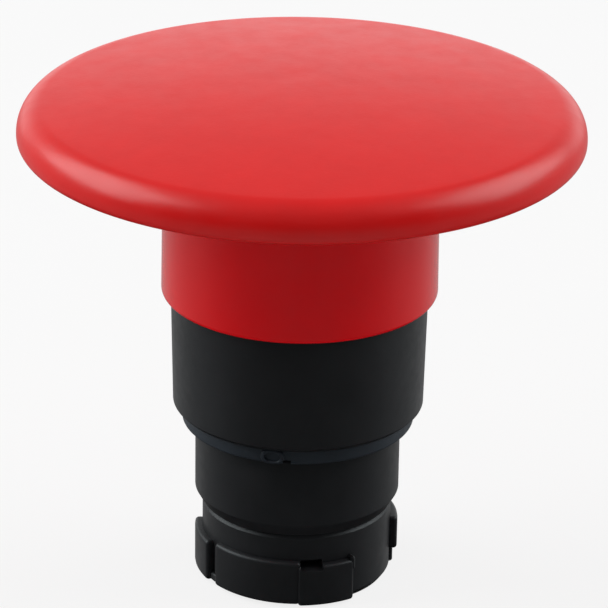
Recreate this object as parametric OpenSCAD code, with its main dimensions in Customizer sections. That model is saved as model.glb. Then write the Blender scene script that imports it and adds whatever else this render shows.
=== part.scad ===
// Emergency stop operator head for a 22 mm panel hole: a push-to-latch, pull-to-reset
// mushroom button on a telescoping barrel, with a bayonet sleeve for its contact block.
// The origin is the centre of the panel hole on the panel's front face. +Z points to the operator.

/* [Mushroom cap] */
// Diameter of the mushroom cap
cap_d = 60; // [50:1:64]
// Height of the cap's widest plane above the panel
cap_z = 33.15; // [32.5:0.05:36]
// Radius of the rounding on the cap's upper rim
cap_rim_r = 3.1; // [2.6:0.1:3.4]
// Radius of the small rounding on the cap's lower rim
cap_lip_r = 0.9; // [0.6:0.1:1]
// Upright band between the two roundings
cap_band = 0.2; // [0.1:0.1:0.5]
// Slope of the dome where it meets the rim, in degrees
cap_slope = 6; // [5:0.5:8]
// Wall thickness of the cap
cap_wall = 2.2; // [1.8:0.1:2.4]
// Number of stiffening ribs under the cap
cap_ribs = 12; // [6:1:16]

/* [Neck skirt] */
// Radius of the skirt at its top
skirt_top_r = 14.63; // [14.5:0.01:14.8]
// Radius of the skirt at its lower edge
skirt_low_r = 14.82; // [14.75:0.01:15.2]
// Height of the skirt's lower edge above the panel
skirt_z = 14.85; // [13.5:0.05:16]
// Thickness of the plate that closes the skirt
skirt_plate = 2; // [1.6:0.1:2.2]

/* [Travel] */
// Push travel of the button
travel = 5.5; // [4.5:0.1:5.5]

/* [Barrel] */
// Radius of the barrel at the skirt
barrel_top_r = 13.8; // [13.4:0.05:13.8]
// Radius of the barrel above the gasket
barrel_low_r = 13.55; // [13.2:0.05:13.8]
// Height of the barrel shell's top
barrel_z = 20.5; // [20:0.1:20.5]

/* [Panel fit] */
// Thickness of the panel gasket
gasket_t = 1.8; // [1.5:0.05:2.5]
// Radius of the panel gasket
gasket_r = 12.55; // [12:0.05:12.8]
// Radius of the tube that passes through the panel
tube_r = 11.12; // [11.05:0.01:11.14]
// Length of the tube below the panel's front face, with the cone at its end
tube_len = 9.35; // [8.5:0.05:9.4]

/* [Bayonet sleeve] */
// Radius of the sleeve below the tube
sleeve_r = 10.3; // [10.05:0.05:10.3]
// Bore radius of the sleeve
sleeve_bore_r = 7.9; // [7.8:0.05:8.1]
// Depth of the sleeve's end below the panel's front face
sleeve_end = 17.85; // [17.5:0.05:19]
// Depth of the lugs' upper faces
lug_top = 12.45; // [12:0.05:13]
// Depth of the lugs' lower faces
lug_low = 17.4; // [16.5:0.05:17.4]

/* [Plunger] */
// Radius of the plunger stem
stem_r = 4; // [3.9:0.05:4.1]
// Radial running clearance round the stem
stem_play = 0.05; // [0.03:0.01:0.08]
// Wire diameter of the detent clip
clip_wire = 1; // [0.8:0.1:1]
// Wire diameter of the plunger spring
spring_wire = 0.7; // [0.5:0.05:0.7]
// Turns of the plunger spring
spring_turns = 3; // [2:0.5:3]

/* [Hidden] */
$fn = 96;

red = [0.84, 0.10, 0.09];
black = [0.10, 0.10, 0.11];
rubber_black = [0.07, 0.07, 0.08];
acetal_white = [0.88, 0.87, 0.82];
steel = [0.72, 0.73, 0.75];
brass = [0.80, 0.64, 0.32];

through = 1;                 // how far a cutting body runs past the face that it opens

// Mushroom cap
cap_r = cap_d / 2;
cap_low = cap_z - cap_band - cap_lip_r;
rim_end_r = cap_r - cap_rim_r + cap_rim_r * sin(cap_slope);
rim_end_z = cap_z + cap_rim_r * cos(cap_slope);
dome_r = rim_end_r / sin(cap_slope);
dome_centre_z = rim_end_z - dome_r * cos(cap_slope);
cap_inner_r = cap_r - 1.9;
hub_r = 15.6;
hub_wall = 2.1;
boss_r = 5.2;
screw_boss_r = 2.6;
screw_circle_r = 10;
screw_pilot_r = 0.95;
screw_depth = 3.6;
rib_t = 1.1;
rib_step = 0.45;             // ribs stand this far back from the cap's lower edge
insert_r = 3.2;
insert_h = 3.1;

// Neck skirt
skirt_top = cap_low;
skirt_round = 0.5;
skirt_clear_r = barrel_top_r + 0.25;
skirt_neck_r = 13.45;
skirt_step_z = skirt_z + travel + 0.55;
skirt_under = skirt_top - skirt_plate;

// Skirt screws
screw_head_r = 2.1;
screw_head_h = 1.5;
screw_shank_r = 1.1;

// Barrel
barrel_neck_r = 13.2;
barrel_bore_r = 12.1;
barrel_floor = 2.5;
barrel_step_z = skirt_z + 0.3;
barrel_chamfer = 0.45;
barrel_cap_t = 1.7;

// Body tube
tube_upper_r = tube_r - 0.2;
tube_bore_r = 9.5;
tube_top = barrel_z - 1;
tube_cone_h = 1.35;
tube_cone_r = tube_r - 0.77;
collar_r = 12;
collar_t = 1.5;
collar_z = gasket_t + barrel_floor;

// Barrel seal ring
o_ring_r = 0.42;
o_ring_groove = 0.9;

// Bayonet sleeve
spigot_r = tube_bore_r - 0.05;
spigot_top = -2.75;
sleeve_chamfer = 0.35;
lug_r = tube_r;
lug_step = 0.15;
right_lug_low = 15.4;
right_lug_h = 3.7;
pocket_r = 8.9;
key_in_r = 6.9;
key_w = 1.6;

// Guides, seal and detent
bush_low = 15.2;
bush_flange = 1;
seal_r = 7.5;
seal_t = 1.1;
block_top = 3.5;
detent_z = 0.4;
detent_depth_r = 0.55;
clip_reach = 3.85;           // distance of the clip's legs from the stem's axis
clip_leg = 6.2;
clip_slot_w = 10.4;
clip_slot_h = clip_wire + 0.2;

// Plunger
stem_low = -9;
stem_shoulder = 28.05;
stem_collar_t = 1.5;
stud_r = 2.45;
washer_t = skirt_under - stem_shoulder - stem_collar_t;
seat_z = 13.2;
seat_t = 1;
seat_r = 7;
seat_clip_t = 0.6;
seat_clip_groove_r = 3.2;
foot_low = -12.2;
foot_r = 7.4;
foot_plate = 2.4;
foot_hub_r = 4.6;
foot_head_r = 2.6;
foot_head_h = 1.4;
foot_screw_r = 1.25;
spring_r = 5.6;

// A tube standing on z
module ring(outer_r, inner_r, z, h) {
    translate([0, 0, z])
        difference() {
            cylinder(r = outer_r, h = h);
            translate([0, 0, -through]) cylinder(r = inner_r, h = h + 2 * through);
        }
}

// A block of a ring between two angles, counted from the front, positive to the right
module sector(outer_r, inner_r, z, h, from, to) {
    rotate([0, 0, from - 90])
        translate([0, 0, z])
            rotate_extrude(angle = to - from) translate([inner_r, 0]) square([outer_r - inner_r, h]);
}

// Places its children at one radius, evenly round the axis
module round_axis(count, radius, start = 0) {
    for (i = [0 : count - 1])
        rotate([0, 0, start + i * 360 / count]) translate([radius, 0, 0]) children();
}

// Cross recess in the top of a screw head that faces down
module cross_recess(z, size, depth) {
    for (turn = [0, 90])
        rotate([0, 0, turn]) translate([-size / 2, -0.35, z - through]) cube([size, 0.7, depth + through]);
}

// Outline of the cap: a shallow dome, a round upper rim, a short band and a small lower rounding
module cap_outline() {
    intersection() {
        translate([0, dome_centre_z]) circle(r = dome_r, $fn = 720);
        translate([0, cap_low]) square([rim_end_r, cap_r]);
    }
    intersection() {
        translate([cap_r - cap_rim_r, cap_z]) circle(r = cap_rim_r);
        translate([rim_end_r, cap_z]) square([cap_rim_r, cap_rim_r]);
    }
    translate([rim_end_r, cap_z - cap_band]) square([cap_r - rim_end_r, cap_band]);
    translate([rim_end_r, cap_low]) square([cap_r - cap_lip_r - rim_end_r, cap_lip_r]);
    intersection() {
        translate([cap_r - cap_lip_r, cap_low + cap_lip_r]) circle(r = cap_lip_r);
        translate([cap_r - cap_lip_r, cap_low]) square([cap_lip_r, cap_lip_r]);
    }
}

// Space under the dome, inside the rim
module cap_hollow() {
    rotate_extrude()
        intersection() {
            translate([0, dome_centre_z]) circle(r = dome_r - cap_wall, $fn = 720);
            translate([0, cap_low - through]) square([cap_inner_r, cap_r]);
        }
}

module cap_supports() {
    ring(hub_r, hub_r - hub_wall, cap_low, cap_r);
    translate([0, 0, cap_low]) cylinder(r = boss_r, h = cap_r);
    round_axis(3, screw_circle_r, 90) translate([0, 0, cap_low]) cylinder(r = screw_boss_r, h = cap_r);
    round_axis(cap_ribs, hub_r - hub_wall / 2, 180 / cap_ribs)
        translate([0, -rib_t / 2, cap_low + rib_step]) cube([cap_r, rib_t, cap_r]);
}

module mushroom_cap() {
    color(red)
        difference() {
            rotate_extrude() cap_outline();
            difference() {
                cap_hollow();
                cap_supports();
            }
            translate([0, 0, cap_low - through]) cylinder(r = insert_r, h = insert_h + 0.1 + through);
            round_axis(3, screw_circle_r, 90)
                translate([0, 0, cap_low - through]) cylinder(r = screw_pilot_r, h = screw_depth + through);
        }
}

// Half section of the skirt: a plate on top and a wall that thins where it passes over the barrel
module skirt_outline() {
    difference() {
        polygon([
            [0, skirt_top],
            [skirt_top_r, skirt_top],
            [skirt_low_r, skirt_z + skirt_round],
            [skirt_low_r, skirt_z],
            [0, skirt_z]
        ]);
        difference() {
            translate([skirt_low_r - skirt_round, skirt_z - through]) square(skirt_round + through);
            translate([skirt_low_r - skirt_round, skirt_z + skirt_round]) circle(r = skirt_round);
        }
        polygon([
            [-through, skirt_z - through],
            [skirt_clear_r, skirt_z - through],
            [skirt_clear_r, skirt_step_z],
            [skirt_neck_r, skirt_step_z + 0.5],
            [skirt_neck_r, skirt_under],
            [-through, skirt_under]
        ]);
    }
}

module neck_skirt() {
    color(red)
        difference() {
            rotate_extrude()
                intersection() {
                    skirt_outline();
                    square([skirt_low_r + through, skirt_top + through]);
                }
            translate([0, 0, skirt_under - through])
                cylinder(r = stud_r + 0.25, h = skirt_plate + 2 * through);
            round_axis(3, screw_circle_r, 90)
                translate([0, 0, skirt_under - through])
                    cylinder(r = screw_shank_r + 0.15, h = skirt_plate + 2 * through);
        }
}

module skirt_screws() {
    color(steel)
        round_axis(3, screw_circle_r, 90)
            difference() {
                union() {
                    translate([0, 0, skirt_under - screw_head_h])
                        cylinder(r = screw_head_r, h = screw_head_h);
                    translate([0, 0, skirt_under]) cylinder(r = screw_shank_r, h = skirt_plate);
                    translate([0, 0, skirt_top])
                        cylinder(r1 = screw_pilot_r, r2 = screw_pilot_r - 0.2, h = screw_depth - 0.3);
                }
                cross_recess(skirt_under - screw_head_h, 2.6, 0.8);
            }
}

module stem_insert() {
    color(brass)
        difference() {
            union() {
                ring(insert_r - 0.02, stud_r + 0.05, cap_low, 1.2);
                ring(insert_r - 0.3, stud_r + 0.05, cap_low + 1.2, 0.6);
                ring(insert_r - 0.02, stud_r + 0.05, cap_low + 1.8, insert_h - 1.8);
            }
            round_axis(12, insert_r + 0.1, 15)
                translate([0, 0, cap_low - through]) cylinder(r = 0.25, h = insert_h + 2 * through);
        }
}

// Round groove in the stem for the detent clip
module detent_groove(z) {
    translate([0, 0, z]) rotate_extrude() translate([clip_reach, 0]) circle(r = detent_depth_r);
}

module plunger_stem() {
    color(steel)
        difference() {
            union() {
                translate([0, 0, stem_low + 0.5]) cylinder(r = stem_r, h = stem_shoulder - stem_low - 0.5);
                translate([0, 0, stem_low]) cylinder(r1 = stem_r - 0.5, r2 = stem_r, h = 0.5);
                translate([0, 0, stem_shoulder]) cylinder(r = 5.4, h = stem_collar_t, $fn = 6);
                translate([0, 0, stem_shoulder + stem_collar_t])
                    cylinder(r = stud_r, h = cap_low + insert_h - 0.2 - stem_shoulder - stem_collar_t);
            }
            detent_groove(detent_z);
            detent_groove(detent_z + travel);
            ring(stem_r + through, seat_clip_groove_r, seat_z + seat_t, seat_clip_t + 0.1);
            translate([0, 0, stem_low - through]) cylinder(r = foot_screw_r + 0.05, h = 5.5 + through);
        }
}

// Split spring washer under the stem's hexagon
module lock_washer() {
    color(steel)
        sector(4.4, stud_r + 0.1, stem_shoulder + stem_collar_t, washer_t, 8, 352);
}

module spring_seat() {
    color(steel) ring(seat_r, stem_r + 0.03, seat_z, seat_t);
}

// Retaining clip, open on one side, with three lands that grip the groove
module seat_clip() {
    color(steel)
        translate([0, 0, seat_z + seat_t + 0.05])
            difference() {
                cylinder(r = 5.8, h = seat_clip_t);
                translate([0, 0, -through]) {
                    cylinder(r = seat_clip_groove_r + 0.02, h = seat_clip_t + 2 * through);
                    translate([0, -seat_clip_groove_r * 0.82, 0])
                        cube([8, seat_clip_groove_r * 1.64, seat_clip_t + 2 * through]);
                    for (side = [-1, 1])
                        rotate([0, 0, side * 125])
                            translate([stem_r + 0.3, 0, 0]) cylinder(r = 0.7, h = seat_clip_t + 2 * through);
                }
            }
}

// Plate on the stem's lower end that works the contact block, keyed to the sleeve's two ribs
module actuator_foot() {
    color(black)
        difference() {
            union() {
                translate([0, 0, foot_low + 0.3]) cylinder(r = foot_r, h = foot_plate - 0.3);
                translate([0, 0, foot_low]) cylinder(r1 = foot_r - 0.3, r2 = foot_r, h = 0.3);
                translate([0, 0, foot_low + foot_plate])
                    cylinder(r = foot_hub_r, h = stem_low - foot_low - foot_plate);
            }
            translate([0, 0, foot_low - through]) {
                cylinder(r = foot_head_r + 0.25, h = foot_head_h + 0.1 + through);
                cylinder(r = foot_screw_r + 0.2, h = stem_low - foot_low + 2 * through);
            }
            for (turn = [0, 180])
                rotate([0, 0, turn])
                    translate([key_in_r - 0.4, -key_w / 2 - 0.3, foot_low - through])
                        cube([3, key_w + 0.6, foot_plate + 2 * through]);
            for (turn = [45 : 90 : 315])
                rotate([0, 0, turn])
                    translate([3.6, -0.8, foot_low - through]) cube([2.6, 1.6, 0.5 + through]);
        }
}

module foot_screw() {
    color(steel)
        difference() {
            union() {
                translate([0, 0, foot_low + 0.1]) cylinder(r = foot_head_r, h = foot_head_h);
                translate([0, 0, foot_low + 0.1 + foot_head_h])
                    cylinder(r = foot_screw_r, h = 4.8 + stem_low - foot_low - foot_head_h);
            }
            cross_recess(foot_low + 0.1, 3.2, 0.8);
        }
}

module barrel_shell() {
    color(black)
        difference() {
            union() {
                translate([0, 0, gasket_t])
                    cylinder(r1 = barrel_low_r - barrel_chamfer, r2 = barrel_low_r, h = barrel_chamfer);
                translate([0, 0, gasket_t + barrel_chamfer])
                    cylinder(r1 = barrel_low_r, r2 = barrel_top_r,
                             h = barrel_step_z - gasket_t - barrel_chamfer);
                translate([0, 0, barrel_step_z - through])
                    cylinder(r = barrel_neck_r, h = barrel_z - barrel_step_z + through);
            }
            translate([0, 0, gasket_t - through])
                cylinder(r = tube_upper_r + 0.02, h = barrel_floor + 2 * through);
            translate([0, 0, collar_z - o_ring_groove]) cylinder(r = collar_r, h = o_ring_groove + through);
            translate([0, 0, collar_z]) cylinder(r = barrel_bore_r, h = barrel_z);
        }
}

// Ring that closes the top of the barrel and holds the stem seal down
module barrel_cap() {
    color(black)
        difference() {
            union() {
                translate([0, 0, barrel_z]) cylinder(r = barrel_neck_r, h = barrel_cap_t - 0.3);
                translate([0, 0, barrel_z + barrel_cap_t - 0.3])
                    cylinder(r1 = barrel_neck_r, r2 = barrel_neck_r - 0.3, h = 0.3);
                translate([0, 0, barrel_z - 1.4]) cylinder(r = barrel_bore_r - 0.02, h = 1.5);
            }
            translate([0, 0, barrel_z - 1.4 - through]) cylinder(r = tube_upper_r + 0.03, h = 1.4 + through);
            translate([0, 0, barrel_z - through]) cylinder(r = seal_r + 0.05, h = seal_t + through);
            translate([0, 0, barrel_z]) cylinder(r = stem_r + 0.6, h = barrel_cap_t + through);
        }
}

module body_tube() {
    color(black)
        difference() {
            union() {
                translate([0, 0, -tube_len]) cylinder(r1 = tube_cone_r, r2 = tube_r, h = tube_cone_h);
                translate([0, 0, tube_cone_h - tube_len]) cylinder(r = tube_r, h = tube_len - tube_cone_h);
                cylinder(r = tube_upper_r, h = tube_top);
                translate([0, 0, collar_z]) cylinder(r = collar_r, h = collar_t);
            }
            translate([0, 0, -tube_len - through])
                cylinder(r = tube_bore_r, h = tube_len + tube_top + 2 * through);
        }
}

// Lugs that the contact block's collar turns onto: a short one on the left, a stepped one in front
// that ends in a small stop, a raised one on the right and a long one at the back
module bayonet_lugs() {
    lug_h = lug_low - lug_top;
    root_r = sleeve_r - 0.4;
    sector(lug_r, root_r, -lug_low, lug_h - 0.3, -95.5, -60);
    sector(lug_r - lug_step, root_r, -lug_low, lug_h, -54, 3.5);
    sector(lug_r, root_r, -lug_low - 0.06, lug_h - 0.35, 1.5, 35);
    sector(lug_r - 0.03, root_r, -lug_top - 1.6, 1.6, 33, 36);
    sector(lug_r, root_r, -right_lug_low, right_lug_h, 84, 112);
    sector(lug_r - 0.45, root_r, -right_lug_low - 1.75, 2, 86, 111);
    sector(lug_r, root_r, -lug_low, lug_h, 136, 204);
}

// Sleeve pressed into the tube from below, with the lugs that the contact block's collar turns onto
module bayonet_sleeve() {
    color(black)
        difference() {
            union() {
                translate([0, 0, -sleeve_end])
                    cylinder(r1 = sleeve_r - sleeve_chamfer, r2 = sleeve_r, h = sleeve_chamfer);
                translate([0, 0, sleeve_chamfer - sleeve_end])
                    cylinder(r = sleeve_r, h = sleeve_end - sleeve_chamfer - tube_len);
                translate([0, 0, -tube_len]) cylinder(r = spigot_r, h = tube_len + spigot_top);
                bayonet_lugs();
            }
            difference() {
                translate([0, 0, -sleeve_end - through])
                    cylinder(r = sleeve_bore_r, h = sleeve_end + spigot_top + 2 * through);
                for (turn = [0, 180])
                    rotate([0, 0, turn])
                        translate([key_in_r, -key_w / 2, 0.9 - sleeve_end])
                            cube([3, key_w, sleeve_end - tube_len]);
            }
            sector(lug_r + through, pocket_r, -13.4, 1, 3, 16);
            translate([-1.2, 5, -sleeve_end - through]) cube([2.4, 8, 2.2 + through]);
        }
}

// Flat rubber washer with an oval locating pip on its outer edge
module panel_gasket() {
    pip_z = gasket_t / 2 - 0.05;
    pip_r = 0.8;
    color(rubber_black)
        difference() {
            union() {
                ring(gasket_r, tube_upper_r + 0.02, 0, gasket_t);
                rotate([0, 0, -12])
                    for (side = [-0.5, 0.5])
                        translate([side, -gasket_r + 0.4, pip_z])
                            rotate([90, 0, 0]) cylinder(r = pip_r, h = 0.62);
                rotate([0, 0, -12])
                    translate([-0.5, -gasket_r - 0.22, pip_z - pip_r]) cube([1, 0.62, 2 * pip_r]);
            }
            rotate([0, 0, -12])
                translate([0, -gasket_r, pip_z]) rotate([90, 0, 0]) cylinder(r = 0.45, h = 1);
            rotate([0, 0, -3])
                translate([-0.45, -gasket_r - through, -through]) cube([0.9, 1.4, 0.45 + through]);
            translate([0, 0, -through]) cylinder(r = tube_r + 0.2, h = 0.4 + through);
        }
}

module barrel_o_ring() {
    color(rubber_black)
        translate([0, 0, collar_z - o_ring_groove / 2])
            rotate_extrude() translate([(tube_upper_r + collar_r) / 2 + 0.01, 0]) circle(r = o_ring_r);
}

module guide_bush() {
    color(acetal_white)
        difference() {
            union() {
                translate([0, 0, bush_low]) cylinder(r = tube_bore_r - 0.02, h = tube_top - bush_low);
                translate([0, 0, tube_top]) cylinder(r = tube_upper_r, h = bush_flange);
            }
            translate([0, 0, bush_low - through])
                cylinder(r = stem_r + stem_play, h = barrel_z - bush_low + 2 * through);
            rotate_extrude()
                translate([5.6, bush_low - through]) square([2.4, tube_top - bush_low - 1.2 + through]);
        }
}

// Lip seal that wipes the stem
module stem_seal() {
    lip_r = stem_r + 0.08;
    color(rubber_black)
        rotate_extrude()
            polygon([
                [seal_r, barrel_z],
                [seal_r, barrel_z + seal_t],
                [lip_r + 1.2, barrel_z + seal_t],
                [lip_r + 0.7, barrel_z + seal_t - 0.35],
                [lip_r, barrel_z + seal_t - 0.1],
                [lip_r, barrel_z + seal_t - 0.3],
                [lip_r + 0.4, barrel_z + seal_t - 0.7],
                [lip_r + 0.4, barrel_z]
            ]);
}

// Guide for the lower part of the stem, slotted across for the detent clip
module detent_block() {
    color(acetal_white)
        difference() {
            translate([0, 0, spigot_top]) cylinder(r = tube_bore_r - 0.03, h = block_top - spigot_top);
            translate([0, 0, spigot_top - through])
                cylinder(r = stem_r + stem_play, h = block_top - spigot_top + 2 * through);
            translate([-clip_slot_w / 2, -8.2, detent_z - clip_slot_h / 2])
                cube([clip_slot_w, 20, clip_slot_h]);
        }
}

// Hairpin of spring wire: two legs that sit in the stem's groove and a half turn that joins them
module detent_clip() {
    color(steel)
        translate([0, 0, detent_z]) {
            for (side = [-1, 1])
                translate([side * clip_reach, -clip_leg, 0])
                    rotate([-90, 0, 0]) cylinder(r = clip_wire / 2, h = clip_leg + 4.4);
            translate([0, 4.4, 0])
                rotate_extrude(angle = 180) translate([clip_reach, 0]) circle(r = clip_wire / 2);
        }
}

// Open coil with closed ends, swept as one tube
spring_sides = 8;
spring_steps = 20;
spring_rings = spring_steps * (spring_turns + 1.5);
spring_low = block_top + spring_wire / 2 + 0.02;
spring_high = seat_z - spring_wire / 2 - 0.02;

// Height of the wire's centre after a number of turns: a closed turn at each end, a steady rise between
function spring_height(turn) =
    let (closed = 0.75, rise = spring_wire * 1.04 * closed)
    turn < closed ? spring_low + rise * turn / closed :
    turn > closed + spring_turns ? spring_high - rise * (2 * closed + spring_turns - turn) / closed :
    spring_low + rise + (spring_high - spring_low - 2 * rise) * (turn - closed) / spring_turns;

function spring_point(i, k) =
    let (angle = 360 * i / spring_steps, side = 360 * k / spring_sides,
         r = spring_r + spring_wire / 2 * cos(side))
    [r * cos(angle), r * sin(angle), spring_height(i / spring_steps) + spring_wire / 2 * sin(side)];

module plunger_spring() {
    color(steel)
        polyhedron(
            points = [for (i = [0 : spring_rings]) for (k = [0 : spring_sides - 1]) spring_point(i, k)],
            faces = concat(
                [[for (k = [0 : spring_sides - 1]) k]],
                [for (i = [0 : spring_rings - 1]) for (k = [0 : spring_sides - 1])
                    let (a = i * spring_sides + k, b = i * spring_sides + (k + 1) % spring_sides)
                    [a, a + spring_sides, b + spring_sides, b]],
                [[for (k = [spring_sides - 1 : -1 : 0]) spring_rings * spring_sides + k]]
            )
        );
}

mushroom_cap();
neck_skirt();
skirt_screws();
stem_insert();
plunger_stem();
lock_washer();
spring_seat();
seat_clip();
actuator_foot();
foot_screw();
barrel_shell();
barrel_cap();
body_tube();
bayonet_sleeve();
panel_gasket();
barrel_o_ring();
guide_bush();
stem_seal();
detent_block();
detent_clip();
plunger_spring();
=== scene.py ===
"""Visual model of a panel-mount emergency stop operator: fine meshes and moulded plastic, rubber and metal
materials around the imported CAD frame. The builders below work in millimetres, angles are in degrees, and an
angle round the axis is counted from the front, positive to the right."""

import math

import bmesh
import bpy
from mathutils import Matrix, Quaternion, Vector


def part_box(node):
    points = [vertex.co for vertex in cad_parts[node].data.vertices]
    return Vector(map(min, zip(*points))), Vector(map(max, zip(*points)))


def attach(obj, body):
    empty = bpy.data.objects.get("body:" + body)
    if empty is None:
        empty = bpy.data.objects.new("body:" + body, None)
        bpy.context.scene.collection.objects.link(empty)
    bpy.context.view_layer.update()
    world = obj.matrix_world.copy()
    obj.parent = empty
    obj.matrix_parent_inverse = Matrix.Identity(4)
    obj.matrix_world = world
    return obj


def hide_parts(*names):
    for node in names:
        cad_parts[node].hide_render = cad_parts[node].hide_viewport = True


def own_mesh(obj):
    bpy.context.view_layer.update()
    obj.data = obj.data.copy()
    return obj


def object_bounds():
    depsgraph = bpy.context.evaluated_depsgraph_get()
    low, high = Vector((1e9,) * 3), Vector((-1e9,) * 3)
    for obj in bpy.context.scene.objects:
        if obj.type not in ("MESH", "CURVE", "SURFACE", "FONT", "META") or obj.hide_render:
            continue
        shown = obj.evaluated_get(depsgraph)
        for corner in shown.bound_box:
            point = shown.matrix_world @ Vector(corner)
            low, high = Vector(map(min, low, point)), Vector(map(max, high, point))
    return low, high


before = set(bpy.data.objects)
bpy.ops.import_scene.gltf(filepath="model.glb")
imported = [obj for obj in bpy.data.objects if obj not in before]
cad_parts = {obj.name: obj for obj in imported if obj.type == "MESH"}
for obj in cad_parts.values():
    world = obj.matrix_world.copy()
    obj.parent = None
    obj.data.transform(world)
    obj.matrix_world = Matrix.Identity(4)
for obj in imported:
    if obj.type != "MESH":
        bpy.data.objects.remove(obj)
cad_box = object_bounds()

MM = 0.001
SEGMENTS = 240
SHARP_ANGLE = math.radians(38)
ON_AXIS = 1e-6
HOUSING = "housing"
BUTTON = "button"


def box_mm(node):
    low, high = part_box(node)
    return low / MM, high / MM


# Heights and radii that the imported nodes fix
cap_low, cap_high = box_mm("mushroom_cap")
skirt_low, skirt_high = box_mm("neck_skirt")
barrel_low, barrel_high = box_mm("barrel_shell")
gasket_low, gasket_high = box_mm("panel_gasket")
tube_low, tube_high = box_mm("body_tube")
sleeve_low, sleeve_high = box_mm("bayonet_sleeve")
spring_low, spring_high = box_mm("plunger_spring")


# ---------------------------------------------------------------- outlines

def arc(centre, radius, start, end, steps):
    """Points on an arc, as (distance from the axis, height)."""
    turns = [math.radians(start + (end - start) * k / steps) for k in range(steps + 1)]
    return [(centre[0] + radius * math.cos(a), centre[1] + radius * math.sin(a)) for a in turns]


def rounded(corners, steps=4):
    """Closed outline with rounded corners. Each corner is (distance from the axis, height, rounding)."""
    outline = []
    for i, (x, z, rounding) in enumerate(corners):
        if rounding == 0:
            outline.append((x, z))
            continue
        corner = Vector((x, z))
        back = (Vector(corners[i - 1][:2]) - corner).normalized()
        on = (Vector(corners[(i + 1) % len(corners)][:2]) - corner).normalized()
        half = back.angle(on) / 2
        centre = corner + (back + on).normalized() * (rounding / math.sin(half))
        start, end = (corner + side * (rounding / math.tan(half)) - centre for side in (back, on))
        first = math.degrees(math.atan2(start.y, start.x))
        sweep = (math.degrees(math.atan2(end.y, end.x)) - first + 180) % 360 - 180
        outline += arc(centre, rounding, first, first + sweep, steps)
    return outline


def at_angle(radius, angle, z):
    """The point at a radius and an angle round the axis, in metres."""
    a = math.radians(angle)
    return Vector((radius * math.sin(a), -radius * math.cos(a), z)) * MM


# ---------------------------------------------------------------- meshes

def new_piece(mesh, name):
    """A scene object from a bmesh."""
    bmesh.ops.recalc_face_normals(mesh, faces=mesh.faces)
    data = bpy.data.meshes.new(name)
    mesh.to_mesh(data)
    mesh.free()
    piece = bpy.data.objects.new(name, data)
    bpy.context.scene.collection.objects.link(piece)
    return piece


def bridge(mesh, rings, closed_chain=False):
    """Faces between rings of vertices. A ring of one vertex is a pole."""
    pairs = list(zip(rings, rings[1:]))
    if closed_chain:
        pairs.append((rings[-1], rings[0]))
    for low, high in pairs:
        count = max(len(low), len(high))
        for k in range(count):
            j = (k + 1) % count
            if len(low) == 1 and len(high) == 1:
                continue
            if len(low) == 1:
                mesh.faces.new((low[0], high[j], high[k]))
            elif len(high) == 1:
                mesh.faces.new((low[k], low[j], high[0]))
            else:
                mesh.faces.new((low[k], low[j], high[j], high[k]))


def lathe(name, outline, segments=SEGMENTS):
    """A solid turned round Z. An outline that starts on the axis also ends on it, or it is closed."""
    mesh = bmesh.new()
    rings = []
    for radius, z in outline:
        if radius < ON_AXIS:
            rings.append([mesh.verts.new((0, 0, z * MM))])
        else:
            rings.append([mesh.verts.new(at_angle(radius, 360 * k / segments, z)) for k in range(segments)])
    bridge(mesh, rings, closed_chain=outline[0][0] > ON_AXIS)
    return new_piece(mesh, name)


def block(name, low, high, rounding=0.0, turn=0.0):
    """A box with rounded edges, turned round the axis."""
    mesh = bmesh.new()
    bmesh.ops.create_cube(mesh, size=1)
    size = [(b - a) * MM for a, b in zip(low, high)]
    middle = [(a + b) / 2 * MM for a, b in zip(low, high)]
    bmesh.ops.scale(mesh, vec=size, verts=mesh.verts)
    bmesh.ops.translate(mesh, vec=middle, verts=mesh.verts)
    if rounding:
        bmesh.ops.bevel(mesh, geom=mesh.edges[:], offset=rounding * MM, segments=3, profile=0.5,
                        affect="EDGES", clamp_overlap=True)
    piece = new_piece(mesh, name)
    cosine, sine = math.cos(math.radians(turn)), math.sin(math.radians(turn))
    for vertex in piece.data.vertices:
        x, y, z = vertex.co
        vertex.co = (x * cosine - y * sine, x * sine + y * cosine, z)
    return piece


def lug(name, inner_r, outer_r, low, high, start, end, edge, steps=4):
    """A block of a ring between two angles, with every outer edge rounded."""
    swings = [math.radians(90 * k / steps) for k in range(steps + 1)]
    stations = [(start + math.degrees(edge * (1 - math.cos(swing)) / outer_r), edge * (1 - math.sin(swing)))
                for swing in swings]
    tail = [(start + end - angle, inset) for angle, inset in reversed(stations)]
    count = max(2, round((end - start) * SEGMENTS / 360))
    first, last = stations[-1][0], tail[0][0]
    stations += [(first + (last - first) * k / count, 0) for k in range(1, count)] + tail
    mesh = bmesh.new()
    sections = []
    for angle, inset in stations:
        corners = [(inner_r, low + inset, 0), (outer_r - inset, low + inset, edge),
                   (outer_r - inset, high - inset, edge), (inner_r, high - inset, 0)]
        sections.append([mesh.verts.new(at_angle(r, angle, z)) for r, z in rounded(corners, steps)])
    bridge(mesh, sections)
    mesh.faces.new(sections[0])
    mesh.faces.new(sections[-1])
    return new_piece(mesh, name)


def rod(name, radius, low, high, centre=(0.0, 0.0), rounding=0.0, segments=48):
    """A round bar along Z, with its ends rounded."""
    outline = rounded([(0, low, 0), (radius, low, rounding), (radius, high, rounding), (0, high, 0)], 3)
    piece = lathe(name, outline, segments)
    for vertex in piece.data.vertices:
        vertex.co.x += centre[0] * MM
        vertex.co.y += centre[1] * MM
    return piece


def joined(pieces, name):
    """One object from pieces that don't overlap."""
    mesh = bmesh.new()
    for piece in pieces:
        mesh.from_mesh(piece.data)
        bpy.data.objects.remove(piece)
    return new_piece(mesh, name)


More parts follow.
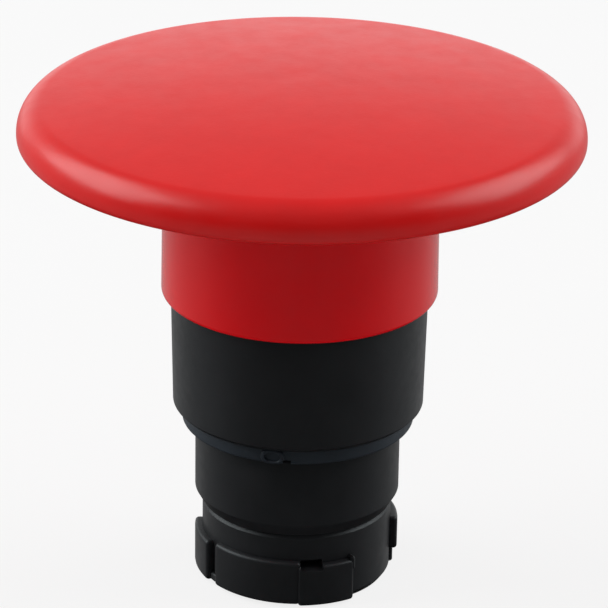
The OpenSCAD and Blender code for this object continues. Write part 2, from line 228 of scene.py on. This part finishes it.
def combine(target, operation, *tools):
    """The target with the tools added to it (UNION) or cut from it (DIFFERENCE)."""
    for tool in tools:
        modifier = target.modifiers.new(tool.name, "BOOLEAN")
        modifier.solver = "MANIFOLD"
        modifier.operation = operation
        modifier.object = tool
    bpy.context.view_layer.update()
    result = target.evaluated_get(bpy.context.evaluated_depsgraph_get())
    data = bpy.data.meshes.new_from_object(result)
    target.modifiers.clear()
    target.data = data
    for tool in tools:
        bpy.data.objects.remove(tool)
    return target


def place(piece, body, node, material):
    """Smooths a finished piece, gives it its material, parents it to the body it moves with and hides the CAD
    node it stands for.
    """
    data = piece.data
    data.name = piece.name
    data.shade_smooth()
    data.set_sharp_from_angle(angle=SHARP_ANGLE)
    normals = piece.modifiers.new("weighted normals", "WEIGHTED_NORMAL")
    normals.weight = 100
    normals.keep_sharp = True
    data.materials.clear()
    data.materials.append(material)
    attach(piece, body)
    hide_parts(node)
    return piece


# ---------------------------------------------------------------- materials

class Nodes:
    """Short calls for building a material's node tree."""

    def __init__(self, name):
        self.material = bpy.data.materials.new(name)
        self.material.use_nodes = True
        self.tree = self.material.node_tree
        self.shader = self.tree.nodes["Principled BSDF"]
        self.place = self.add("ShaderNodeTexCoord").outputs["Object"]

    def add(self, kind, **inputs):
        node = self.tree.nodes.new(kind)
        for key, value in inputs.items():
            node.inputs[key].default_value = value
        return node

    def link(self, source, target):
        self.tree.links.new(source, target)
        return target

    def noise(self, size, detail=2.0, rough=0.5, stretch=None):
        """Noise whose features are about this size in millimetres."""
        source = self.place
        if stretch:
            mapping = self.add("ShaderNodeMapping")
            mapping.inputs["Scale"].default_value = stretch
            self.link(source, mapping.inputs["Vector"])
            source = mapping.outputs["Vector"]
        node = self.add("ShaderNodeTexNoise", Scale=1 / (size * MM), Detail=detail, Roughness=rough)
        self.link(source, node.inputs["Vector"])
        return node.outputs["Fac"]

    def span(self, value, low, high, start=0.3, end=0.7):
        """The value's range from start to end, stretched over low to high."""
        node = self.add("ShaderNodeMapRange")
        node.inputs["From Min"].default_value = start
        node.inputs["From Max"].default_value = end
        node.inputs["To Min"].default_value = low
        node.inputs["To Max"].default_value = high
        self.link(value, node.inputs["Value"])
        return node.outputs["Result"]

    def blend(self, factor, first, second):
        node = self.tree.nodes.new("ShaderNodeMix")
        node.data_type = "RGBA"
        node.inputs["A"].default_value = (*first, 1)
        node.inputs["B"].default_value = (*second, 1)
        self.link(factor, node.inputs["Factor"])
        return node.outputs["Result"]

    def bump(self, height, depth, normal=None):
        """Relief of this depth in millimetres."""
        node = self.add("ShaderNodeBump", Strength=1.0, Distance=depth * MM)
        self.link(height, node.inputs["Height"])
        if normal:
            self.link(normal, node.inputs["Normal"])
        return node.outputs["Normal"]


COLOUR_FLOW = 6.0


def moulded(name, colour, variation, roughness, grain, relief, specular=0.5, sheen=(1, 1, 1)):
    """Injection-moulded plastic or rubber: a fine eroded-tool texture, slow colour flow and uneven gloss. The
    grain and the relief are in millimetres, and the sheen tints the reflections."""
    n = Nodes(name)
    lighter = tuple(min(1, c * (1 + variation)) for c in colour)
    darker = tuple(c * (1 - variation) for c in colour)
    flow_mix = n.span(n.noise(COLOUR_FLOW, 3, 0.55), 0, 1)
    n.link(n.blend(flow_mix, darker, lighter), n.shader.inputs["Base Color"])
    gloss = n.span(n.noise(grain * 5, 3, 0.6), roughness * 0.9, roughness * 1.1)
    n.link(gloss, n.shader.inputs["Roughness"])
    fine = n.bump(n.noise(grain, 3, 0.6), relief)
    n.link(n.bump(n.noise(grain * 14, 2, 0.5), relief * 2.2, fine), n.shader.inputs["Normal"])
    n.shader.inputs["Specular IOR Level"].default_value = specular
    n.shader.inputs["Specular Tint"].default_value = (*sheen, 1)
    return n.material


TOOL_MARKS = (1, 1, 14)


def metal(name, colour, roughness):
    """Turned or plated metal with fine tool marks round its axis."""
    n = Nodes(name)
    n.shader.inputs["Metallic"].default_value = 1.0
    marks = n.noise(0.9, 4, 0.7, TOOL_MARKS)
    n.link(n.blend(n.span(n.noise(3, 3), 0, 1), tuple(c * 0.88 for c in colour), colour),
           n.shader.inputs["Base Color"])
    n.link(n.span(marks, roughness * 0.75, roughness * 1.3), n.shader.inputs["Roughness"])
    n.link(n.bump(marks, 0.004), n.shader.inputs["Normal"])
    return n.material


BLACK = (0.0155, 0.0158, 0.0175)
COOL = (0.86, 0.97, 1.0)
cap_red = moulded("cap_red", (0.69, 0.004, 0.004), 0.03, 0.34, 0.45, 0.012)
skirt_red = moulded("skirt_red", (0.73, 0.002, 0.006), 0.02, 0.18, 0.5, 0.0008, 0.6)
satin_black = moulded("satin_black", BLACK, 0.12, 0.42, 0.25, 0.003, 0.5, COOL)
sleeve_black = moulded("sleeve_black", BLACK, 0.12, 0.42, 0.3, 0.003, 0.34, COOL)
rubber_black = moulded("rubber_black", (0.018, 0.024, 0.034), 0.15, 0.5, 0.18, 0.005, 0.7, COOL)
acetal = moulded("acetal_white", (0.76, 0.74, 0.68), 0.02, 0.35, 0.4, 0.002)
plated_steel = metal("plated_steel", (0.66, 0.67, 0.68), 0.28)
spring_wire = metal("spring_wire", (0.55, 0.56, 0.58), 0.22)
brass = metal("brass", (0.80, 0.58, 0.24), 0.26)


# ---------------------------------------------------------------- mushroom cap

# Heights are above the panel's front face. CAP_SLOPE and RIB_PITCH are angles
CAP_RIM_R = 3.1
CAP_LIP_R = 0.9
CAP_BAND = 0.2
CAP_SLOPE = 6.0
CAP_WALL = 2.2
RIM_WALL = 1.9
EDGE_R = 0.3
CEILING_R = 0.5
CEILING_END_R = 27
HUB_R = 15.6
HUB_WALL = 2.1
HUB_TOP = 35.5
RIB_HALF = 0.55
RIB_TOP = 35.4
RIB_PITCH = 30
BOSS_R, BOSS_TOP = 5.2, 35.9
INSERT_R, INSERT_DEPTH = 3.2, 3.2
SCREW_BOSS_R, SCREW_BOSS_TOP = 2.6, 35.7
SCREW_BORE_R, SCREW_BORE_DEPTH = 0.95, 3.6
SCREW_CIRCLE_R = 10
SINK_X, SINK_Y, SINK_R, SINK_DEPTH = -1.2, 3.7, 2.0, 0.03
SINK_STRETCH = 1.2
DOME_LOW = 36.5

cap_r = cap_high.x
cap_z = cap_low.z + CAP_BAND + CAP_LIP_R
rim_end_r = cap_r - CAP_RIM_R * (1 - math.sin(math.radians(CAP_SLOPE)))
dome_r = rim_end_r / math.sin(math.radians(CAP_SLOPE))
dome_z = cap_z + CAP_RIM_R * math.cos(math.radians(CAP_SLOPE)) - dome_r * math.cos(math.radians(CAP_SLOPE))
inner_r = cap_r - RIM_WALL
screw_centres = [(SCREW_CIRCLE_R * math.cos(math.radians(90 + 120 * k)),
                  SCREW_CIRCLE_R * math.sin(math.radians(90 + 120 * k))) for k in range(3)]


def dome(radius, depth=0.0):
    """Height of the dome at a distance from the axis, or of its inner side at a depth."""
    return dome_z + math.sqrt((dome_r - depth) ** 2 - radius ** 2)


def cap_outline():
    """The cap's section: over the dome, round the rim and its lip, and back along the inner side."""
    top = [(rim_end_r * k / 44, dome(rim_end_r * k / 44)) for k in range(44)]
    rim = arc((cap_r - CAP_RIM_R, cap_z), CAP_RIM_R, 90 - CAP_SLOPE, 0, 20)
    lip = arc((cap_r - CAP_LIP_R, cap_low.z + CAP_LIP_R), CAP_LIP_R, 0, -90, 9)
    edge = arc((inner_r + EDGE_R, cap_low.z + EDGE_R), EDGE_R, -90, -180, 4)
    ceiling = [(inner_r - CEILING_R + CEILING_R * math.cos(math.radians(a)),
                dome(inner_r, CAP_WALL) - CEILING_R + CEILING_R * math.sin(math.radians(a)))
               for a in (0, 30, 60, 90)]
    under = [(CEILING_END_R * (1 - k / 12), dome(CEILING_END_R * (1 - k / 12), CAP_WALL)) for k in range(13)]
    return top + rim + lip + edge + ceiling + under


def make_cap():
    """The mushroom: a dome with a hub, ribs and bosses underneath, and a faint sink mark over the boss."""
    low = cap_low.z
    cap = lathe("button_cap", cap_outline())
    hub = lathe("cap_hub", rounded([(HUB_R - HUB_WALL, low, 0.15), (HUB_R, low, 0.25),
                                    (HUB_R, HUB_TOP, 0), (HUB_R - HUB_WALL, HUB_TOP, 0)], 3))
    ribs = joined([block(f"rib_{k}", (HUB_R - 1, -RIB_HALF, low + 0.45), (inner_r + 0.5, RIB_HALF, RIB_TOP),
                         0.2, RIB_PITCH / 2 + RIB_PITCH * k) for k in range(360 // RIB_PITCH)], "cap_ribs")
    bosses = joined([rod("boss", BOSS_R, low, BOSS_TOP, rounding=0.2, segments=96)]
                    + [rod(f"screw_boss_{k}", SCREW_BOSS_R, low, SCREW_BOSS_TOP, centre, rounding=0.2)
                       for k, centre in enumerate(screw_centres)], "cap_bosses")
    bores = joined([rod("insert_bore", INSERT_R, low - 1, low + INSERT_DEPTH, segments=96)]
                   + [rod(f"screw_bore_{k}", SCREW_BORE_R, low - 1, low + SCREW_BORE_DEPTH, centre)
                      for k, centre in enumerate(screw_centres)], "cap_bores")
    combine(cap, "UNION", hub, ribs, bosses)
    combine(cap, "DIFFERENCE", bores)
    for vertex in cap.data.vertices:
        x, y, z = vertex.co / MM
        if z > DOME_LOW:
            away = math.hypot(x - SINK_X, (y - SINK_Y) * SINK_STRETCH) / SINK_R
            vertex.co.z -= SINK_DEPTH * math.exp(-away ** 2) * MM
    return place(cap, BUTTON, "mushroom_cap", cap_red)


# ---------------------------------------------------------------- red neck skirt

def make_skirt():
    """The red cylinder: a plate with holes for the stud and screws, and a wall with a wider lower bore."""
    low, top = skirt_low.z, skirt_high.z
    under, step = top - 2, low + 6.05
    stud_r, screw_r, top_r, lower_bore, upper_bore = 2.7, 1.25, 14.63, 14.05, 13.45
    outline = rounded([(stud_r, under, 0.1), (stud_r, top, 0.1), (top_r, top, 0.1),
                       (skirt_high.x, low, 0.55), (lower_bore, low, 0.18), (lower_bore, step, 0),
                       (upper_bore, step + 0.5, 0), (upper_bore, under, 0.3)], 6)
    skirt = lathe("button_skirt", outline)
    holes = joined([rod(f"hole_{k}", screw_r, under - 1, top + 1, centre)
                    for k, centre in enumerate(screw_centres)], "skirt_holes")
    combine(skirt, "DIFFERENCE", holes)
    return place(skirt, BUTTON, "neck_skirt", skirt_red)


# ---------------------------------------------------------------- barrel, gasket and tube

TUBE_UPPER_R = 10.92
COLLAR_R = 12.0
FLOOR_T = 2.5


def make_barrel():
    """The black barrel. Above neck_z it is narrower, to fit inside the skirt's upper bore when pushed."""
    top, low = barrel_high.z, barrel_low.z
    neck_z, floor_z = 15.15, low + FLOOR_T
    bore, neck_r, inside = TUBE_UPPER_R + 0.02, 13.2, 12.1
    outline = rounded([(bore, low, 0.1), (13.1, low, 0.2), (13.55, low + 0.45, 0.3),
                       (barrel_high.x, neck_z, 0.15), (neck_r, neck_z, 0.1), (neck_r, top, 0.1),
                       (inside, top, 0.1), (inside, floor_z, 0), (COLLAR_R, floor_z, 0),
                       (COLLAR_R, floor_z - 0.9, 0.1), (bore, floor_z - 0.9, 0)], 5)
    return place(lathe("barrel", outline), HOUSING, "barrel_shell", satin_black)


def stadium(half_width, half_height, count=12):
    """Points round an oval with straight sides."""
    straight = half_width - half_height
    right = [(straight + half_height * math.cos(a), half_height * math.sin(a))
             for a in (math.radians(-90 + 180 * k / count) for k in range(count + 1))]
    return right + [(-x, -y) for x, y in right]


def make_gasket():
    """The rubber ring, with a relief round the tube's shoulder, an oval hollow pip and a moulding notch."""
    radius, top, low = gasket_high.x, gasket_high.z, 0.02
    bore, relief_r, relief_z = 10.96, 11.32, 0.4
    ring = lathe("gasket", rounded([(relief_r, low, 0.1), (radius, low, 0.3), (radius, top, 0.3),
                                    (bore, top, 0.1), (bore, relief_z, 0.1), (relief_r, relief_z, 0)], 5))
    angle, middle, proud = -12.0, top / 2 - 0.05, 0.22
    # The pip's ovals, from its root over the rim into the hollow: (distance out, half width, half height)
    levels = [(-1.1, 1.3, 0.8), (proud - 0.15, 1.3, 0.8), (proud - 0.05, 1.25, 0.75), (proud, 1.17, 0.67),
              (proud, 0.88, 0.54), (proud - 0.06, 0.82, 0.48), (-0.9, 0.76, 0.44)]
    mesh = bmesh.new()
    rings = []
    for out, half_width, half_height in levels:
        rings.append([])
        for u, v in stadium(half_width, half_height):
            across = at_angle(1, angle + 90, 0) * u
            rings[-1].append(mesh.verts.new(at_angle(radius + out, angle, middle + v) + across))
    bridge(mesh, rings)
    mesh.faces.new(rings[0])
    mesh.faces.new(rings[-1])
    combine(ring, "UNION", new_piece(mesh, "pip"))
    notch = block("notch", (-0.45, -radius - 1, -1), (0.45, -radius + 1, 0.6), turn=-5)
    combine(ring, "DIFFERENCE", notch)
    return place(ring, HOUSING, "panel_gasket", rubber_black)


def make_tube():
    """The tube through the panel, with a collar on the barrel's floor and a cone at its lower end."""
    outer, upper, bore, low, top = 11.12, TUBE_UPPER_R, 9.5, tube_low.z, tube_high.z
    cone_z, shoulder = -8, barrel_low.z + FLOOR_T
    outline = rounded([(bore, low, 0.1), (outer - 0.77, low, 0.12), (outer, cone_z, 0.25), (outer, -0.4, 0.3),
                       (upper, -0.3, 0.05), (upper, shoulder, 0), (COLLAR_R, shoulder, 0.1),
                       (COLLAR_R, shoulder + 1.5, 0.1), (upper, shoulder + 1.5, 0), (upper, top, 0.1),
                       (bore, top, 0.1)], 5)
    return place(lathe("panel_tube", outline), HOUSING, "body_tube", sleeve_black)


# ---------------------------------------------------------------- bayonet sleeve

def make_sleeve():
    """The narrow sleeve, with a groove under the tube, the bayonet lugs, a pocket and two keys in the bore.
    The numbers of a lug are its radii, heights, angles and rounding."""
    low, top, radius, bore = sleeve_low.z, sleeve_high.z, 10.3, 7.9
    joint_z, groove_r, spigot_r = tube_low.z, radius - 0.28, 9.45
    lug_r = sleeve_high.x
    root = radius - 0.4
    sleeve = lathe("sleeve", rounded([(bore, low, 0.25), (radius - 0.5, low, 0.2), (radius, low + 0.7, 0.3),
                                      (radius, joint_z - 0.55, 0.1), (groove_r, joint_z - 0.25, 0.05),
                                      (groove_r, joint_z, 0), (spigot_r, joint_z, 0), (spigot_r, top, 0.2),
                                      (bore, top, 0.2)], 4))
    combine(sleeve, "UNION",
            lug("lug_left", root, lug_r, -17.5, -12.8, -95.5, -60, 0.4),
            lug("lug_web", root, 10.7, -17.45, -16.5, -62, -52, 0.3),
            lug("lug_front", root, lug_r - 0.15, -17.5, -12.45, -54, 3, 0.4),
            lug("lug_step", root, lug_r, -17.6, -12.85, 1.5, 35, 0.35),
            lug("lug_stop", root, lug_r, -14.05, -12.45, 33, 36, 0.3),
            lug("lug_right", root, lug_r, -15.5, -11.7, 84, 112, 0.35),
            lug("lug_ramp", root, 10.65, -17.3, -15.2, 86, 112, 0.3),
            lug("lug_back", root, lug_r, -17.5, -12.45, 136, 204, 0.4),
            block("key_right", (6.9, -0.8, low + 0.9), (8.2, 0.8, low + 10), 0.12),
            block("key_left", (6.9, -0.8, low + 0.9), (8.2, 0.8, low + 10), 0.12, 180))
    combine(sleeve, "DIFFERENCE",
            lug("pocket", 8.9, lug_r + 0.5, -13.4, -12.4, 3, 16, 0.1),
            block("back_notch", (-1.2, 5, low - 1), (1.2, 13, low + 2.2), 0.1))
    return place(sleeve, HOUSING, "bayonet_sleeve", sleeve_black)


# ---------------------------------------------------------------- plunger spring

WIRE_SIDES = 14
STEPS_PER_TURN = 40


def make_spring():
    """The coil spring, with closed ends, at its rest length. The button's travel is 5.5 mm."""
    wire, coil_r, turns, closed = 0.35, 5.6, 4.5, 0.75
    low, high = spring_low.z + wire, spring_high.z - wire
    rise = wire * 2 * 1.04 * closed
    mesh = bmesh.new()
    rings = []
    count = int(turns * STEPS_PER_TURN)
    sides = [2 * math.pi * j / WIRE_SIDES for j in range(WIRE_SIDES)]
    for k in range(count + 1):
        turn = turns * k / count
        if turn < closed:
            z = low + rise * turn / closed
        elif turn > turns - closed:
            z = high - rise * (turns - turn) / closed
        else:
            z = low + rise + (high - low - 2 * rise) * (turn - closed) / (turns - 2 * closed)
        section = [(coil_r + wire * math.cos(a), z + wire * math.sin(a)) for a in sides]
        rings.append([mesh.verts.new(at_angle(r, 360 * turn, level)) for r, level in section])
    bridge(mesh, rings)
    mesh.faces.new(rings[0])
    mesh.faces.new(rings[-1])
    spring = new_piece(mesh, "return_spring")
    place(spring, HOUSING, "plunger_spring", spring_wire)
    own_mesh(spring)
    return spring


make_cap()
make_skirt()
make_barrel()
make_gasket()
make_tube()
make_sleeve()
make_spring()

for node, material in {
    "skirt_screws": plated_steel, "stem_insert": brass, "plunger_stem": plated_steel,
    "lock_washer": spring_wire, "spring_seat": plated_steel, "seat_clip": spring_wire,
    "actuator_foot": satin_black, "foot_screw": plated_steel, "barrel_cap": satin_black,
    "barrel_o_ring": rubber_black, "guide_bush": acetal, "stem_seal": rubber_black,
    "detent_block": acetal, "detent_clip": spring_wire,
}.items():
    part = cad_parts[node]
    for slot in part.material_slots:
        slot.material = material


# ---------------------------------------------------------------- floor, light and camera

FLOOR_GLOW = 0.82


def pale_floor():
    """A pale floor that the camera sees evenly lit, with a soft shadow."""
    bpy.ops.mesh.primitive_plane_add(size=6, location=(0, 0, cad_box[0].z - 0.00002))
    floor = bpy.context.object
    floor.name = "floor"
    n = Nodes("pale_floor")
    n.link(n.blend(n.noise(40, 3), (0.62, 0.62, 0.62), (0.66, 0.66, 0.66)), n.shader.inputs["Base Color"])
    n.shader.inputs["Roughness"].default_value = 0.8
    n.shader.inputs["Specular IOR Level"].default_value = 0.1
    glow = n.add("ShaderNodeEmission", Color=(1, 1, 1, 1))
    path = n.add("ShaderNodeLightPath")
    share = n.add("ShaderNodeMath")
    share.operation = "MULTIPLY"
    share.inputs[1].default_value = FLOOR_GLOW
    n.link(path.outputs["Is Camera Ray"], share.inputs[0])
    mix = n.add("ShaderNodeMixShader")
    n.link(share.outputs["Value"], mix.inputs["Fac"])
    n.link(n.shader.outputs["BSDF"], mix.inputs[1])
    n.link(glow.outputs["Emission"], mix.inputs[2])
    n.link(mix.outputs["Shader"], n.tree.nodes["Material Output"].inputs["Surface"])
    floor.data.materials.append(n.material)
    floor.visible_glossy = False


def softbox(name, azimuth, elevation, distance, width, height, radiance):
    """A soft light of this radiance that faces the part. Its azimuth is counted like the other angles, and
    its sizes are in metres."""
    middle = Vector((0, 0, 0.02))
    light = bpy.data.lights.new(name, "AREA")
    light.shape = "RECTANGLE"
    light.size, light.size_y = width, height
    light.energy = radiance * math.pi * width * height
    lamp = bpy.data.objects.new(name, light)
    level = at_angle(distance * math.cos(math.radians(elevation)), azimuth, 0) / MM
    lamp.location = middle + level + Vector((0, 0, distance * math.sin(math.radians(elevation))))
    lamp.rotation_mode = "QUATERNION"
    lamp.rotation_quaternion = (middle - lamp.location).to_track_quat("-Z", "Y")
    bpy.context.scene.collection.objects.link(lamp)
    return lamp


def world_ramp(tree, value, stops):
    """A grey level that follows one part of the direction, from -1 to 1, through the stops."""
    span = tree.nodes.new("ShaderNodeMapRange")
    span.inputs["From Min"].default_value = -1
    ramp = tree.nodes.new("ShaderNodeValToRGB")
    elements = ramp.color_ramp.elements
    elements.remove(elements[0])
    for k, (position, level) in enumerate(stops):
        stop = elements.new((position + 1) / 2) if k else elements[0]
        stop.position = (position + 1) / 2
        stop.color = (level, level, level, 1)
    tree.links.new(value, span.inputs["Value"])
    tree.links.new(span.outputs["Result"], ramp.inputs["Fac"])
    return ramp.outputs["Color"]


def studio():
    """Two softboxes at the sides, a low pale wall behind, three fills that the part doesn't mirror, and
    surroundings that are darker in front. The camera sees the surroundings as plain pale grey."""
    softbox("left_box", -99, 37, 0.8, 0.75, 0.60, 3.8)
    softbox("right_box", 104, 36, 0.8, 0.70, 0.58, 3.1)
    softbox("back_wall", 180, 7, 0.9, 1.6, 0.40, 0.8)
    for name, azimuth, elevation, size, radiance in (("top_fill", 0, 62, (1.2, 1.2), 0.5),
                                                     ("left_fill", -95, 12, (0.6, 0.36), 1.2),
                                                     ("right_fill", 98, 12, (0.6, 0.36), 1.2)):
        softbox(name, azimuth, elevation, 0.85, *size, radiance).visible_glossy = False
    world = bpy.data.worlds.new("studio")
    bpy.context.scene.world = world
    world.use_nodes = True
    world.cycles.sampling_method = "NONE"
    tree = world.node_tree
    ground = tree.nodes["Background"]
    direction = tree.nodes.new("ShaderNodeTexCoord")
    split = tree.nodes.new("ShaderNodeSeparateXYZ")
    tree.links.new(direction.outputs["Generated"], split.inputs["Vector"])
    across = world_ramp(tree, split.outputs["Y"],
                        ((-1, 0.01), (-0.65, 0.02), (-0.35, 0.10), (0, 0.25), (0.7, 0.42)))
    upward = world_ramp(tree, split.outputs["Z"],
                        ((-0.68, 0.02), (-0.42, 1), (0, 1), (0.3, 0.6), (1, 0.9)))
    tree.links.new(across, ground.inputs["Color"])
    tree.links.new(upward, ground.inputs["Strength"])
    seen = tree.nodes.new("ShaderNodeBackground")
    seen.inputs["Color"].default_value = (0.95, 0.95, 0.95, 1)
    path = tree.nodes.new("ShaderNodeLightPath")
    mix = tree.nodes.new("ShaderNodeMixShader")
    tree.links.new(path.outputs["Is Camera Ray"], mix.inputs["Fac"])
    tree.links.new(ground.outputs["Background"], mix.inputs[1])
    tree.links.new(seen.outputs["Background"], mix.inputs[2])
    tree.links.new(mix.outputs["Shader"], tree.nodes["World Output"].inputs["Surface"])


def camera():
    """A long lens, 23 degrees above the horizon, with a slight roll."""
    data = bpy.data.cameras.new("camera")
    data.lens = 220.8
    data.sensor_width = 36
    data.shift_x = 0.00755
    data.clip_start, data.clip_end = 0.01, 20
    lens = bpy.data.objects.new("camera", data)
    elevation, distance = math.radians(23.26), 0.400
    target = Vector((0, 0, 0.01315))
    away = Vector((0, -math.cos(elevation), math.sin(elevation)))
    lens.location = target + away * distance
    lens.rotation_mode = "QUATERNION"
    roll = Quaternion((0, 0, 1), math.radians(0.85))
    lens.rotation_quaternion = (-away).to_track_quat("-Z", "Y") @ roll
    bpy.context.scene.collection.objects.link(lens)
    bpy.context.scene.camera = lens


pale_floor()
studio()
camera()
bpy.context.scene.view_settings.view_transform = "Standard"
